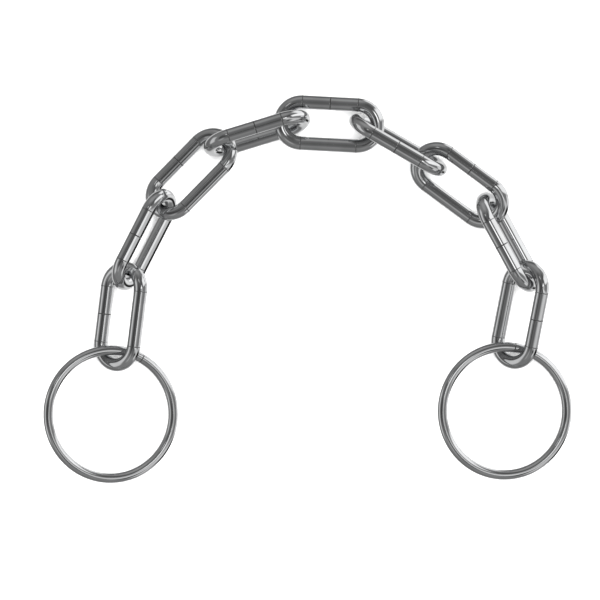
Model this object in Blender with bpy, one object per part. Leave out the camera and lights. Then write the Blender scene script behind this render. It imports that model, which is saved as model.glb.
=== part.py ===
"""A short length of long-link steel chain with a round ring on each end, lying on a level floor in an arch.

Nine welded links run from link_1 at the foot of the left side, over link_5 at the top, to link_9 at the
foot of the right side. Odd links lie flat or are rolled a little, and even links stand on one leg, so each
crown is threaded through the next link's eye. Metres, +Z up. The floor is z = 0, and the origin is on it
under the middle of the chain. +X runs to the right and +Y towards the top of the arch.
"""

import math
from collections import namedtuple

import bmesh
import bpy
from mathutils import Euler, Matrix, Vector

LINK_WIRE = 0.0062
LINK_INNER_LENGTH = 0.0366
LINK_INNER_WIDTH = 0.0120
RING_WIRE = 0.0045
RING_OUTER = 0.0609

WIRE_SIDES = 16
CROWN_STEPS = 12
RING_SIDES = 12
RING_STEPS = 48

LEG_SPACING = LINK_INNER_WIDTH + LINK_WIRE
STRAIGHT_LEG = LINK_INNER_LENGTH - LINK_INNER_WIDTH
LINK_REACH = (STRAIGHT_LEG + LEG_SPACING) / 2
RING_RADIUS = (RING_OUTER - RING_WIRE) / 2

# The odd links in the middle of the arch lie across the lower wires of the standing links beside them.
BRIDGE_HEIGHT = 0.0098

# One row a link, in order along the chain. heading is the way it points, from +X towards +Y. roll lifts the
# side on the left of the heading, and pitch lifts the front end. step is the length of chain it takes up,
# from one crossing to the next. A standing or leaning link rests on the floor, the others on their neighbours.
Lay = namedtuple("Lay", "heading roll pitch step on_floor")
LINKS = (
    Lay(83, -36, 3, 0.0365, True),
    Lay(63, 63, 0, 0.0354, True),
    Lay(45.5, -27, 0, 0.0366, False),
    Lay(17, 73, 0, 0.0336, True),
    Lay(-3, 0, 0, 0.0316, False),
    Lay(-30, 98, 0, 0.0336, True),
    Lay(-36.5, 18, 0, 0.0313, False),
    Lay(-61.5, 110, 0, 0.0361, True),
    Lay(-101, 35, -9, 0.0326, True),
)
MIDDLE = len(LINKS) // 2

# direction points from the crossing at the end link to the ring's centre, reach away. tilt_x lifts the far
# side and tilt_y the left side, because the ring lies over one leg of the end link and under the other.
RingLay = namedtuple("RingLay", "name direction reach tilt_x tilt_y")
RINGS = (
    RingLay("ring_left", -95, 0.0251, 1, 13),
    RingLay("ring_right", -98, 0.0267, 1, 13),
)

LINK_STEEL = {"color": (0.56, 0.57, 0.58), "roughness": 0.16}
RING_STEEL = {"color": (0.60, 0.61, 0.62), "roughness": 0.14}


def clear_scene():
    for obj in list(bpy.data.objects):
        bpy.data.objects.remove(obj)


def steel(name, color, roughness):
    material = bpy.data.materials.new(name)
    material.use_nodes = True
    shader = material.node_tree.nodes["Principled BSDF"]
    shader.inputs["Base Color"].default_value = (*color, 1)
    shader.inputs["Metallic"].default_value = 1
    shader.inputs["Roughness"].default_value = roughness
    return material


def wire_section(mesh, wire, sides, centre):
    """A circle of edges round a wire that runs along X through centre."""
    turn = Matrix.Translation(centre) @ Matrix.Rotation(math.pi / 2, 4, "Y")
    made = bmesh.ops.create_circle(mesh, segments=sides, radius=wire / 2, matrix=turn)
    return [edge for edge in mesh.edges if edge.verts[0] in made["verts"]]


def spun(mesh, section, centre, angle, steps):
    """Carries a section round centre in the XY plane and returns the section that it ends on."""
    made = bmesh.ops.spin(mesh, geom=section, cent=centre, axis=(0, 0, 1), angle=angle, steps=steps)
    return [item for item in made["geom_last"] if isinstance(item, bmesh.types.BMEdge)]


def finished_mesh(mesh, name, material):
    bmesh.ops.remove_doubles(mesh, verts=mesh.verts, dist=1e-6)
    bmesh.ops.recalc_face_normals(mesh, faces=mesh.faces)
    data = bpy.data.meshes.new(name)
    mesh.to_mesh(data)
    mesh.free()
    data.shade_smooth()
    data.materials.append(material)
    return data


def link_mesh(material):
    """An oval of round wire along X: two straight legs joined by half-round crowns."""
    mesh = bmesh.new()
    half_leg, side = STRAIGHT_LEG / 2, LEG_SPACING / 2
    start = wire_section(mesh, LINK_WIRE, WIRE_SIDES, Vector((half_leg, -side, 0)))
    front = spun(mesh, start, (half_leg, 0, 0), math.pi, CROWN_STEPS)
    back = bmesh.ops.extrude_edge_only(mesh, edges=front)["geom"]
    moved = [item for item in back if isinstance(item, bmesh.types.BMVert)]
    bmesh.ops.translate(mesh, verts=moved, vec=(-STRAIGHT_LEG, 0, 0))
    back = [item for item in back if isinstance(item, bmesh.types.BMEdge)]
    end = spun(mesh, back, (-half_leg, 0, 0), math.pi, CROWN_STEPS)
    bmesh.ops.bridge_loops(mesh, edges=start + end)
    return finished_mesh(mesh, "chain_link", material)


def ring_mesh(material):
    mesh = bmesh.new()
    section = wire_section(mesh, RING_WIRE, RING_SIDES, Vector((0, -RING_RADIUS, 0)))
    spun(mesh, section, (0, 0, 0), 2 * math.pi, RING_STEPS)
    return finished_mesh(mesh, "end_ring", material)


def along(degrees):
    angle = math.radians(degrees)
    return Vector((math.cos(angle), math.sin(angle), 0))


def turned(roll, pitch, heading):
    angles = (math.radians(roll), math.radians(-pitch), math.radians(heading))
    return Euler(angles, "XYZ").to_matrix().to_4x4()


def resting(data, turn, place):
    """The matrix that puts a turned mesh over place with its lowest point on the floor."""
    lowest = min((turn @ vertex.co).z for vertex in data.vertices)
    return Matrix.Translation((place.x, place.y, -lowest)) @ turn


def link_centres():
    """Walks both ways from the middle link, half a step of one link and half a step of the next."""
    halves = [along(lay.heading) * lay.step / 2 for lay in LINKS]
    centres = [Vector()] * len(LINKS)
    for i in range(MIDDLE + 1, len(LINKS)):
        centres[i] = centres[i - 1] + halves[i - 1] + halves[i]
    for i in range(MIDDLE - 1, -1, -1):
        centres[i] = centres[i + 1] - halves[i + 1] - halves[i]
    return centres, centres[0] - halves[0], centres[-1] + halves[-1]


def link_places(data, centres):
    places = []
    for lay, centre in zip(LINKS, centres):
        turn = turned(lay.roll, lay.pitch, lay.heading)
        if lay.on_floor:
            places.append(resting(data, turn, centre))
        else:
            places.append(Matrix.Translation((centre.x, centre.y, BRIDGE_HEIGHT)) @ turn)
    return places


def ring_places(data, ends):
    return [
        resting(data, turned(lay.tilt_x, -lay.tilt_y, 0), end + along(lay.direction) * lay.reach)
        for lay, end in zip(RINGS, ends)
    ]


def pivots(places, rings):
    """The point that each piece swings about, in the wire of the standing link at its crossing."""
    points = {}
    for i in range(len(LINKS)):
        if i == MIDDLE:
            continue
        inward = 1 if i < MIDDLE else -1
        standing = i if i % 2 else i + inward
        end = inward if i % 2 else -inward
        points[f"link_{i + 1}"] = places[standing] @ Vector((end * LINK_REACH, 0, 0))
    for lay, place in zip(RINGS, rings):
        points[lay.name] = place.translation - along(lay.direction) * RING_RADIUS
    return points


def middle_of(objects):
    """The middle of the whole chain's box, at its lowest point."""
    points = [obj.matrix_basis @ vertex.co for obj in objects for vertex in obj.data.vertices]
    low = [min(point[axis] for point in points) for axis in range(3)]
    high = [max(point[axis] for point in points) for axis in range(3)]
    return Vector(((low[0] + high[0]) / 2, (low[1] + high[1]) / 2, low[2]))


def add_object(name, data, world):
    obj = bpy.data.objects.new(name, data)
    obj.matrix_basis = world
    bpy.context.scene.collection.objects.link(obj)
    return obj


def hang(child, parent):
    """Parents child and leaves it where it is, so matrix_basis stays each object's place in the world."""
    child.parent = parent
    child.matrix_parent_inverse = parent.matrix_basis.inverted()


def add_swing(piece, carrier, point):
    """Hangs piece from carrier through an empty on the upright axis that it swings about."""
    empty = add_object(f"{piece.name}_swing", None, Matrix.Translation(point))
    empty.empty_display_size = LINK_WIRE
    hang(empty, carrier)
    hang(piece, empty)


def main():
    clear_scene()
    link_data = link_mesh(steel("link_steel", **LINK_STEEL))
    ring_data = ring_mesh(steel("ring_steel", **RING_STEEL))
    centres, left_end, right_end = link_centres()
    links = link_places(link_data, centres)
    rings = ring_places(ring_data, (left_end, right_end))
    points = pivots(links, rings)

    pieces = [add_object(f"link_{i + 1}", link_data, place) for i, place in enumerate(links)]
    ends = [add_object(lay.name, ring_data, place) for lay, place in zip(RINGS, rings)]
    shift = middle_of(pieces + ends)
    for obj in pieces + ends:
        obj.matrix_basis = Matrix.Translation(-shift) @ obj.matrix_basis

    for i, piece in enumerate(pieces):
        if i != MIDDLE:
            carrier = pieces[i + 1] if i < MIDDLE else pieces[i - 1]
            add_swing(piece, carrier, points[piece.name] - shift)
    add_swing(ends[0], pieces[0], points[ends[0].name] - shift)
    add_swing(ends[1], pieces[-1], points[ends[1].name] - shift)


main()
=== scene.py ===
"""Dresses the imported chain: round polished wires with their weld seams, on a pale floor in a soft studio.

Every link and ring replaces its CAD node with a finer sweep of the same wire. A piece finds its place from
its node's vertices, so it lies where the node does. Metres, unless a comment says otherwise.
"""

import math
from collections import namedtuple

import bpy
import numpy as np
from mathutils import Matrix, Vector


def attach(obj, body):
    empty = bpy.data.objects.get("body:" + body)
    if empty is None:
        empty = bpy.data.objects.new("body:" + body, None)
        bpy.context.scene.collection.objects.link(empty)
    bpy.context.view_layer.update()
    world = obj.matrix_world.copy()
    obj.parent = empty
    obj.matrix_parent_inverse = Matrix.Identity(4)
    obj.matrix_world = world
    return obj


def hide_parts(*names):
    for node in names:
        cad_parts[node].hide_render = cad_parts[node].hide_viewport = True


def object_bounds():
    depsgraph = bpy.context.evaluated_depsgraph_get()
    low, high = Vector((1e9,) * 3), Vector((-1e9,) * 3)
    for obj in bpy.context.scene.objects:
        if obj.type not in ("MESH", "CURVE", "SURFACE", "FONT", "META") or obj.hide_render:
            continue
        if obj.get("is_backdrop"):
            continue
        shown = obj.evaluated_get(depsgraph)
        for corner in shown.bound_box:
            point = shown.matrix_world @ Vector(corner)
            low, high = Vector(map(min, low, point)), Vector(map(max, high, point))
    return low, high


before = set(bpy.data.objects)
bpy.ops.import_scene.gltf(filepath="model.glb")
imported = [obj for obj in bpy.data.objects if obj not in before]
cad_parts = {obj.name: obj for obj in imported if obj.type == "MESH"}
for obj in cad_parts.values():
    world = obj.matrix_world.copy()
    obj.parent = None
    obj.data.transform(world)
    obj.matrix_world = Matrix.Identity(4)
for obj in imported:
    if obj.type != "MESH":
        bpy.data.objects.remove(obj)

LINK_COUNT = 9
LINK_NAMES = [f"link_{i + 1}" for i in range(LINK_COUNT)]
RING_NAMES = ["ring_left", "ring_right"]

# The sizes of the CAD model's wires. WIRE_ALLOWANCE comes off a wire's radius, because the CAD's wires have
# flat sides and a round one would reach past their box.
LINK_WIRE = 0.0062
RING_WIRE = 0.0045
WIRE_ALLOWANCE = 0.000065
STRAIGHT_LEG = 0.0246
CROWN_RADIUS = 0.0091
RING_RADIUS = 0.0282

# Lengths along a link's centre line: half a leg, one crown, and once round. BENDS is where the crowns start
# and end, from the middle of the welded leg.
HALF_LEG = STRAIGHT_LEG / 2
CROWN_LENGTH = math.pi * CROWN_RADIUS
LINK_LENGTH = 2 * (STRAIGHT_LEG + CROWN_LENGTH)
BENDS = (
    HALF_LEG,
    HALF_LEG + CROWN_LENGTH,
    3 * HALF_LEG + CROWN_LENGTH,
    3 * HALF_LEG + 2 * CROWN_LENGTH,
)

LINK_SIDES = 56
RING_SIDES = 40
CROWN_STEPS = 44
LEG_STEP = 0.0015
RING_STEPS = 240

# A seam is a shallow groove round the wire: the butt weld, and the faint marks where the bends start.
# SEAM_STATIONS and SEAM_CLEARANCE are in half widths from its middle. It is darkest where the groove is
# deeper than its depth over SEAM_DARKENING.
Seam = namedtuple("Seam", "depth half_width shade")
LINK_WELD = Seam(0.00008, 0.00026, 1.0)
BEND_MARK = Seam(0.00003, 0.00020, 0.85)
RING_WELD = Seam(0.00008, 0.00026, 0.9)
SEAM_STATIONS = (-1.5, -1.15, -1, -0.6, -0.25, 0, 0.25, 0.6, 1, 1.15, 1.5)
SEAM_CLEARANCE = 2
SEAM_DARKENING = 1.6

# Where a ring's weld is, in degrees from +X towards +Y about its centre.
RING_WELD_AT = {"ring_left": 60, "ring_right": 81}

# How far along the wire the patch that a crown's neighbour rubs reaches, from the crown's tip.
RUB_LENGTH = 0.0035

# The steel's fine detail. A scale is in noise cells a metre, and one of three is along the wire and then
# across it. A scratch lies where its noise is within SCRATCH_WIDTH of NOISE_MIDDLE, and the clouds go from
# dark to light over CLOUD_RANGE.
NOISE_MIDDLE = 0.5
LINE_SCALE = (40, 2600, 2600)
LINE_DETAIL = 3
SCRATCH_SCALE = (260, 420, 420)
SCRATCH_DETAIL = 2
SCRATCH_DISTORTION = 0.6
SCRATCH_WIDTH = 0.006
CLOUD_SCALE = 95
CLOUD_DETAIL = 3
CLOUD_RANGE = (0.3, 0.7)

# How far along the wire a piece's pattern is shifted, so that no two are alike: from one link to the next,
# from one ring to the next, and on the first ring.
LINK_SHIFT = 0.137
RING_SHIFT = 0.31
FIRST_RING_SHIFT = 1.7

# SCRATCH_LIFT is a scratch's height against a draw line's.
BUMP_STRENGTH = 0.12
BUMP_HEIGHT = 0.000006
SCRATCH_LIFT = -0.4

# The steel's colours are linear. DARKER and LIGHTER are its two tints, and RUB_LIGHTER is how much of the
# lighter one a rubbed patch takes.
SEAM_COLOUR = (0.035, 0.034, 0.033, 1)
LINK_STEEL = {"colour": (0.57, 0.575, 0.58), "roughness": 0.05}
RING_STEEL = {"colour": (0.575, 0.58, 0.585), "roughness": 0.045}
DARKER = 0.93
LIGHTER = 1.05
RUB_LIGHTER = 0.5

# What each kind of detail adds to the roughness where it is strongest.
LINES_ROUGHER = 0.03
CLOUDS_ROUGHER = 0.02
SCRATCHES_ROUGHER = 0.05
RUB_ROUGHER = 0.06
SEAM_ROUGHER = 0.35

# The photograph's frame: what lies at its middle, and how wide it is on the floor. LENS and SENSOR are in
# millimetres, and VIEW_REACH is how far the camera sees.
VIEW_CENTRE = (-0.0034, -0.0048)
VIEW_WIDTH = 0.2647
LENS = 1000
SENSOR = 36
VIEW_REACH = 100

# The studio, as the steel shows it. Directions are degrees from +X towards +Y, and down from overhead.
# level is the brightness that a mirror would show. ROOM gives the bare room's level by tilt, eased from row
# to row. A panel's edges fade over soft, and SIDE_SOFTER times as far sideways. A later panel lies over the
# earlier ones.
ROOM = (
    (0, 0.16), (12, 0.18), (30, 0.21), (45, 0.27), (75, 0.29), (100, 0.28), (122, 0.31), (138, 0.85),
)
Panel = namedtuple("Panel", "azimuth tilt half_azimuth half_tilt soft level")
UPPER_LEFT = (
    Panel(172, 24, 34, 19, 5, 0.085),
    Panel(141, 22, 22, 18, 6, 0.15),
    Panel(126, 27, 8, 4, 2, 1.10),
    Panel(150, 113, 32, 11, 5, 0.23),
    Panel(184, 76, 27, 13, 5, 0.90),
)
TOP = (
    Panel(54, 34, 17, 22, 6, 0.135),
    Panel(97, 66, 22, 19, 8, 0.42),
    Panel(97, 111, 20, 12, 7, 0.14),
)
LOWER_LEFT = (
    Panel(196, 112, 32, 12, 6, 0.21),
    Panel(237, 40, 14, 12, 6, 0.50),
    Panel(238, 108, 26, 20, 7, 0.23),
    Panel(278, 52, 22, 14, 8, 0.33),
)
LOWER_RIGHT = (
    Panel(312, 35, 8, 8, 4, 0.50),
    Panel(312, 54, 8, 9, 4, 0.06),
    Panel(313, 76, 9, 9, 4, 1.05),
    Panel(313, 103, 9, 13, 4, 0.48),
    Panel(313, 140, 10, 20, 4, 1.02),
    Panel(314, 6, 26, 7, 3, 0.03),
)
RIGHT = (
    Panel(353, 60, 9, 19, 4, 0.30),
    Panel(354, 20, 26, 14, 4, 0.66),
    Panel(332, 62, 10, 34, 4, 0.88),
    Panel(330, 20, 6, 15, 3, 1.50),
    Panel(26, 13, 15, 8, 3, 2.10),
    Panel(26, 32, 13, 6, 4, 0.20),
    Panel(28, 88, 15, 44, 3, 1.48),
    Panel(357, 121, 13, 36, 4, 1.15),
    Panel(57, 112, 17, 24, 4, 1.30),
    Panel(329, 114, 10, 26, 3, 0.01),
)
PANELS = UPPER_LEFT + TOP + LOWER_LEFT + LOWER_RIGHT + RIGHT
SIDE_SOFTER = 1.5

# The lamp overhead spreads wide, for the floor and its faint shadows. KEY_SPREAD and KEY_LEAN, about X and
# about Y, are in degrees.
KEY_STRENGTH = 9
KEY_SPREAD = 70
KEY_LEAN = (-6, 8)

# The floor lies a hair below the chain.
FLOOR_HALF = 20
FLOOR_Z = -0.0002
FLOOR_GREY = 0.82
FLOOR_ROUGHNESS = 0.9
FLOOR_SPECULAR = 0.1

# How many decimals tell two of a node's vertices apart.
VERTEX_DECIMALS = 7


def put(tree, kind, values=None, out=0, **settings):
    """Adds a node and returns one of its outputs. values are sockets or plain values, by input."""
    made = tree.nodes.new(kind)
    for key, value in settings.items():
        setattr(made, key, value)
    for key, value in (values or {}).items():
        if isinstance(value, bpy.types.NodeSocket):
            tree.links.new(value, made.inputs[key])
        else:
            made.inputs[key].default_value = value
    return made.outputs[out] if made.outputs else None


def math_node(tree, operation, a, b=0.0, c=0.0, clamp=False):
    return put(tree, "ShaderNodeMath", {0: a, 1: b, 2: c}, operation=operation, use_clamp=clamp)


def ramped(tree, value, low, high):
    """0 to 1 as value goes from low to high, eased."""
    values = {"Value": value, "From Min": low, "From Max": high, "To Min": 0.0, "To Max": 1.0}
    return put(tree, "ShaderNodeMapRange", values, interpolation_type="SMOOTHSTEP")


def mixed(tree, factor, a, b):
    return put(tree, "ShaderNodeMix", {0: factor, 2: a, 3: b}, data_type="FLOAT")


def mixed_colour(tree, factor, a, b):
    return put(tree, "ShaderNodeMix", {0: factor, 6: a, 7: b}, out=2, data_type="RGBA")


def noise(tree, vector, scale, detail, distortion=0.0):
    values = {"Vector": vector, "Scale": scale, "Detail": detail, "Distortion": distortion}
    return put(tree, "ShaderNodeTexNoise", values)


def steel(name, colour, roughness):
    """Polished drawn wire: lengthwise draw lines, hairline scratches, soft cloudiness, dark seams."""
    material = bpy.data.materials.new(name)
    material.use_nodes = True
    tree = material.node_tree
    shader = tree.nodes["Principled BSDF"]
    wire = put(tree, "ShaderNodeAttribute", out="Vector", attribute_name="wire")
    seam = put(tree, "ShaderNodeAttribute", out="Fac", attribute_name="seam")
    rub = put(tree, "ShaderNodeAttribute", out="Fac", attribute_name="rub")
    place = put(tree, "ShaderNodeTexCoord", out="Object")

    def along_wire(scale, *settings):
        vector = put(tree, "ShaderNodeMapping", {"Vector": wire, "Scale": scale})
        return noise(tree, vector, 1.0, *settings)

    lines = along_wire(LINE_SCALE, LINE_DETAIL)
    scuffs = along_wire(SCRATCH_SCALE, SCRATCH_DETAIL, SCRATCH_DISTORTION)
    edge = math_node(tree, "ABSOLUTE", math_node(tree, "SUBTRACT", scuffs, NOISE_MIDDLE))
    scratches = ramped(tree, edge, SCRATCH_WIDTH, 0.0)
    clouds = noise(tree, place, CLOUD_SCALE, CLOUD_DETAIL)

    dark = tuple(DARKER * c for c in colour) + (1,)
    light = tuple(LIGHTER * c for c in colour) + (1,)
    base = mixed_colour(tree, ramped(tree, clouds, *CLOUD_RANGE), dark, light)
    base = mixed_colour(tree, math_node(tree, "MULTIPLY", rub, RUB_LIGHTER), base, light)
    base = mixed_colour(tree, seam, base, SEAM_COLOUR)
    tree.links.new(base, shader.inputs["Base Color"])

    rough = roughness - (LINES_ROUGHER + CLOUDS_ROUGHER) / 2
    rough = math_node(tree, "MULTIPLY_ADD", lines, LINES_ROUGHER, rough)
    rough = math_node(tree, "MULTIPLY_ADD", clouds, CLOUDS_ROUGHER, rough)
    rough = math_node(tree, "MULTIPLY_ADD", scratches, SCRATCHES_ROUGHER, rough)
    rough = math_node(tree, "MULTIPLY_ADD", rub, RUB_ROUGHER, rough)
    rough = math_node(tree, "MULTIPLY_ADD", seam, SEAM_ROUGHER, rough, clamp=True)
    tree.links.new(rough, shader.inputs["Roughness"])

    height = math_node(tree, "MULTIPLY_ADD", scratches, SCRATCH_LIFT, lines)
    bump = {"Height": height, "Strength": BUMP_STRENGTH, "Distance": BUMP_HEIGHT}
    tree.links.new(put(tree, "ShaderNodeBump", bump), shader.inputs["Normal"])
    shader.inputs["Metallic"].default_value = 1
    return material


def seamed(stations, seams):
    """Puts the stations of each seam, (place, Seam), in the place of those near it, and sorts them all."""
    extra = [place + f * seam.half_width for place, seam in seams for f in SEAM_STATIONS]
    clear = [
        s for s in stations
        if all(abs(s - place) > SEAM_CLEARANCE * seam.half_width for place, seam in seams)
    ]
    return np.array(sorted(clear + extra))


def seam_values(stations, seams, length):
    """How far the wire is cut in at each station, and how dark it is there."""
    depth, shade = np.zeros(len(stations)), np.zeros(len(stations))
    for place, seam in seams:
        away = np.abs((stations - place + length / 2) % length - length / 2) / seam.half_width
        cut = np.clip(1 - away, 0, 1)
        depth = np.maximum(depth, seam.depth * cut)
        shade = np.maximum(shade, seam.shade * np.clip(SEAM_DARKENING * cut, 0, 1))
    return depth, shade


def wire_mesh(name, path, stations, seams, length, wire, sides, rub, shift):
    """Sweeps a round wire along a closed path. path(s) gives its centre line and its outward direction."""
    depth, shade = seam_values(stations, seams, length)
    centres, outward = path(stations)
    angles = np.arange(sides) * 2 * math.pi / sides
    radius = (wire / 2 - WIRE_ALLOWANCE - depth)[:, None, None]
    sideways = np.cos(angles)[None, :, None] * outward[:, None, :]
    upward = np.sin(angles)[None, :, None] * (0, 0, 1)
    points = centres[:, None, :] + radius * (sideways + upward)
    count = len(stations)

    i, j = np.meshgrid(np.arange(count), np.arange(sides), indexing="ij")
    near, far = j, (j + 1) % sides
    here, there = i * sides, (i + 1) % count * sides
    corners = np.stack([here + near, here + far, there + far, there + near], axis=-1).reshape(-1, 4)
    mesh = bpy.data.meshes.new(name)
    mesh.from_pydata(points.reshape(-1, 3).tolist(), [], corners.tolist())

    dark = mesh.attributes.new("seam", "FLOAT", "POINT")
    dark.data.foreach_set("value", np.repeat(shade, sides))
    rubbed = np.outer(rub(stations), np.clip(-np.cos(angles), 0, 1) ** 2)
    worn = mesh.attributes.new("rub", "FLOAT", "POINT")
    worn.data.foreach_set("value", rubbed.ravel())

    ends = np.append(stations, stations[0] + length)
    s = np.stack([ends[i], ends[i], ends[i + 1], ends[i + 1]], axis=-1).ravel()
    turn = np.stack([near, near + 1, near + 1, near], axis=-1).ravel() * 2 * math.pi / sides
    along = np.stack([s + shift, wire / 2 * np.cos(turn), wire / 2 * np.sin(turn)], axis=-1)
    coordinates = mesh.attributes.new("wire", "FLOAT_VECTOR", "CORNER")
    coordinates.data.foreach_set("vector", along.ravel())
    mesh.shade_smooth()
    return mesh


def oval_path(s):
    """A link's centre line in its XY plane, from the middle of the +Y leg towards +X."""
    s = s % LINK_LENGTH
    front, lower, back, last = BENDS
    angle = np.where(s < lower, np.clip((s - front) / CROWN_RADIUS, 0, math.pi), 0)
    angle = np.where(s >= lower, math.pi + np.clip((s - back) / CROWN_RADIUS, 0, math.pi), angle)
    outward = np.stack([np.sin(angle), np.cos(angle), 0 * s], axis=-1)
    x = np.select(
        [s < front, s < lower, s < back, s < last],
        [s, HALF_LEG + 0 * s, HALF_LEG - (s - lower), -HALF_LEG + 0 * s],
        -HALF_LEG + (s - last),
    )
    centre = outward * CROWN_RADIUS
    centre[:, 0] += x
    return centre, outward


def round_path(s):
    """A ring's centre line in its XY plane, from +X towards +Y."""
    angle = s / RING_RADIUS
    outward = np.stack([np.cos(angle), np.sin(angle), 0 * s], axis=-1)
    return outward * RING_RADIUS, outward


def link_mesh(name, shift):
    seams = [(0, LINK_WELD)] + [(s, BEND_MARK) for s in BENDS]
    straights = ((0, BENDS[0]), BENDS[1:3], (BENDS[3], LINK_LENGTH))
    legs = [np.arange(a + LEG_STEP, b - LEG_STEP / 2, LEG_STEP) for a, b in straights]
    crowns = [np.linspace(a, b, CROWN_STEPS)[1:-1] for a, b in (BENDS[:2], BENDS[2:])]
    stations = seamed([float(s) for part in legs + crowns for s in part], seams)
    tips = ((BENDS[0] + BENDS[1]) / 2, (BENDS[2] + BENDS[3]) / 2)

    def rub(s):
        return sum(np.exp(-(((s - tip) / RUB_LENGTH) ** 2)) for tip in tips)

    return wire_mesh(
        name, oval_path, stations, seams, LINK_LENGTH, LINK_WIRE, LINK_SIDES, rub, shift
    )


def ring_mesh(name, shift):
    length = 2 * math.pi * RING_RADIUS
    seams = [(0, RING_WELD)]
    stations = seamed([length * k / RING_STEPS for k in range(1, RING_STEPS)], seams)

    def unrubbed(s):
        return 0 * s

    return wire_mesh(
        name, round_path, stations, seams, length, RING_WIRE, RING_SIDES, unrubbed, shift
    )


def node_axes(node):
    """The middle of a node and its principal directions, longest first, from its vertices."""
    points = np.array([v.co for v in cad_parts[node].data.vertices])
    points = np.unique(points.round(VERTEX_DECIMALS), axis=0)
    middle = points.mean(axis=0)
    _, _, directions = np.linalg.svd(points - middle, full_matrices=False)
    return Vector(middle), [Vector(d) for d in directions]


def placed(x, y, middle):
    """The matrix that carries a piece made about the origin to middle, with its axes along x and y."""
    x = x.normalized()
    z = x.cross(y).normalized()
    turn = Matrix((x, z.cross(x), z)).transposed().to_4x4()
    return Matrix.Translation(middle) @ turn


def link_place(name, ahead):
    """A link's +X points to the next link, and its welded leg, +Y, outward and up."""
    middle, (x, y, _) = node_axes(name)
    outward = Vector((middle.x, middle.y, 0)).normalized() + Vector((0, 0, 1))
    x = x if x.dot(ahead) > 0 else -x
    y = y if y.dot(outward) > 0 else -y
    return placed(x, y, middle)


def ring_place(name):
    """A ring's +X points to its weld."""
    middle, (_, _, z) = node_axes(name)
    z = z if z.z > 0 else -z
    angle = math.radians(RING_WELD_AT[name])
    x = Vector((math.cos(angle), math.sin(angle), 0))
    x = (x - z * x.dot(z)).normalized()
    return placed(x, z.cross(x), middle)


def add_piece(name, node, mesh, place, material):
    mesh.transform(place)
    mesh.materials.append(material)
    piece = bpy.data.objects.new(name, mesh)
    bpy.context.scene.collection.objects.link(piece)
    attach(piece, node)
    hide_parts(node)


def add_chain():
    link_steel = steel("polished_link_steel", **LINK_STEEL)
    ring_steel = steel("polished_ring_steel", **RING_STEEL)
    middles = [node_axes(name)[0] for name in LINK_NAMES]
    for k, name in enumerate(LINK_NAMES):
        ahead = middles[min(k + 1, LINK_COUNT - 1)] - middles[max(k - 1, 0)]
        mesh = link_mesh(f"{name}_wire", LINK_SHIFT * k)
        add_piece(f"{name}_wire", name, mesh, link_place(name, ahead), link_steel)
    for k, name in enumerate(RING_NAMES):
        mesh = ring_mesh(f"{name}_wire", FIRST_RING_SHIFT + RING_SHIFT * k)
        add_piece(f"{name}_wire", name, mesh, ring_place(name), ring_steel)


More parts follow.
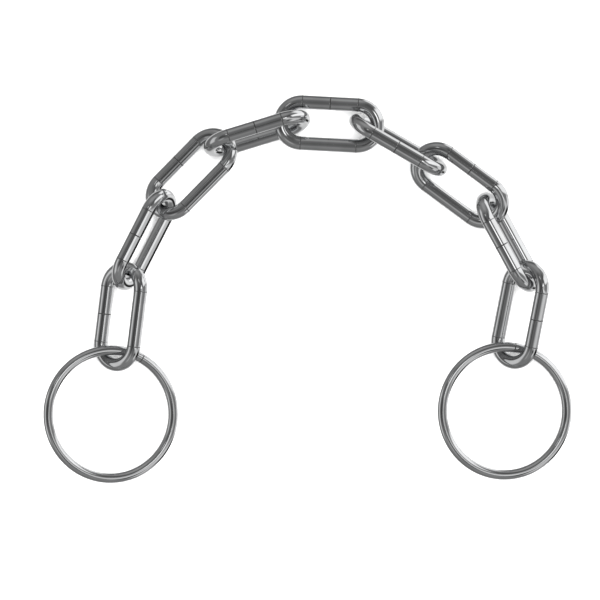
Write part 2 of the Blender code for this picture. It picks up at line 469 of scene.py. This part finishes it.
def add_floor():
    mesh = bpy.data.meshes.new("floor")
    corner = FLOOR_HALF
    points = [(-corner, -corner, 0), (corner, -corner, 0), (corner, corner, 0), (-corner, corner, 0)]
    mesh.from_pydata(points, [], [(0, 1, 2, 3)])
    material = bpy.data.materials.new("pale_floor")
    material.use_nodes = True
    shader = material.node_tree.nodes["Principled BSDF"]
    shader.inputs["Base Color"].default_value = (FLOOR_GREY, FLOOR_GREY, FLOOR_GREY, 1)
    shader.inputs["Roughness"].default_value = FLOOR_ROUGHNESS
    shader.inputs["Specular IOR Level"].default_value = FLOOR_SPECULAR
    mesh.materials.append(material)
    floor = bpy.data.objects.new("floor", mesh)
    floor.location.z = FLOOR_Z
    floor.visible_glossy = False
    bpy.context.scene.collection.objects.link(floor)
    floor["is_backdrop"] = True


def add_studio():
    """The room that the steel reflects: a plain dim room with soft light panels, plain white behind."""
    world = bpy.data.worlds.new("studio")
    bpy.context.scene.world = world
    world.use_nodes = True
    tree = world.node_tree
    tree.nodes.clear()
    direction = put(tree, "ShaderNodeTexCoord", out="Generated")
    x, y, z = put(tree, "ShaderNodeSeparateXYZ", {0: direction}).node.outputs
    degrees = 180 / math.pi
    azimuth = math_node(tree, "MULTIPLY", math_node(tree, "ARCTAN2", y, x), degrees)
    tilt = math_node(tree, "MULTIPLY", math_node(tree, "ARCCOSINE", z), degrees)

    light = ROOM[0][1]
    for (low, _), (high, level) in zip(ROOM, ROOM[1:]):
        light = mixed(tree, ramped(tree, tilt, low, high), light, level)
    for panel in PANELS:
        turned = math_node(tree, "SUBTRACT", azimuth, panel.azimuth)
        turned = math_node(tree, "ABSOLUTE", math_node(tree, "WRAP", turned, 180.0, -180.0))
        raised = math_node(tree, "ABSOLUTE", math_node(tree, "SUBTRACT", tilt, panel.tilt))
        side = SIDE_SOFTER * panel.soft
        across = ramped(tree, turned, panel.half_azimuth + side, panel.half_azimuth - side)
        down = ramped(tree, raised, panel.half_tilt + panel.soft, panel.half_tilt - panel.soft)
        light = mixed(tree, math_node(tree, "MULTIPLY", across, down), light, panel.level)

    seen = put(tree, "ShaderNodeLightPath", out="Is Camera Ray")
    strength = mixed(tree, seen, light, 1.0)
    shader = put(tree, "ShaderNodeBackground", {"Color": (1, 1, 1, 1), "Strength": strength})
    put(tree, "ShaderNodeOutputWorld", {0: shader})


def add_key():
    """A broad soft light overhead. The steel doesn't mirror it."""
    lamp = bpy.data.lights.new("overhead", "SUN")
    lamp.energy = KEY_STRENGTH
    lamp.angle = math.radians(KEY_SPREAD)
    key = bpy.data.objects.new("overhead", lamp)
    key.rotation_euler = (math.radians(KEY_LEAN[0]), math.radians(KEY_LEAN[1]), 0)
    key.visible_glossy = False
    bpy.context.scene.collection.objects.link(key)


def add_camera():
    """Looks straight down on the chain through a long lens, as the photograph does."""
    lens = bpy.data.cameras.new("camera")
    lens.lens, lens.sensor_width = LENS, SENSOR
    lens.clip_end = VIEW_REACH
    camera = bpy.data.objects.new("camera", lens)
    camera.location = (*VIEW_CENTRE, VIEW_WIDTH * LENS / SENSOR)
    bpy.context.scene.collection.objects.link(camera)
    bpy.context.scene.camera = camera


def corners():
    return [list(corner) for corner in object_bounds()]


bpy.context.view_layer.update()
add_chain()
add_floor()
add_studio()
add_key()
add_camera()
bpy.context.scene.view_settings.view_transform = "Standard"
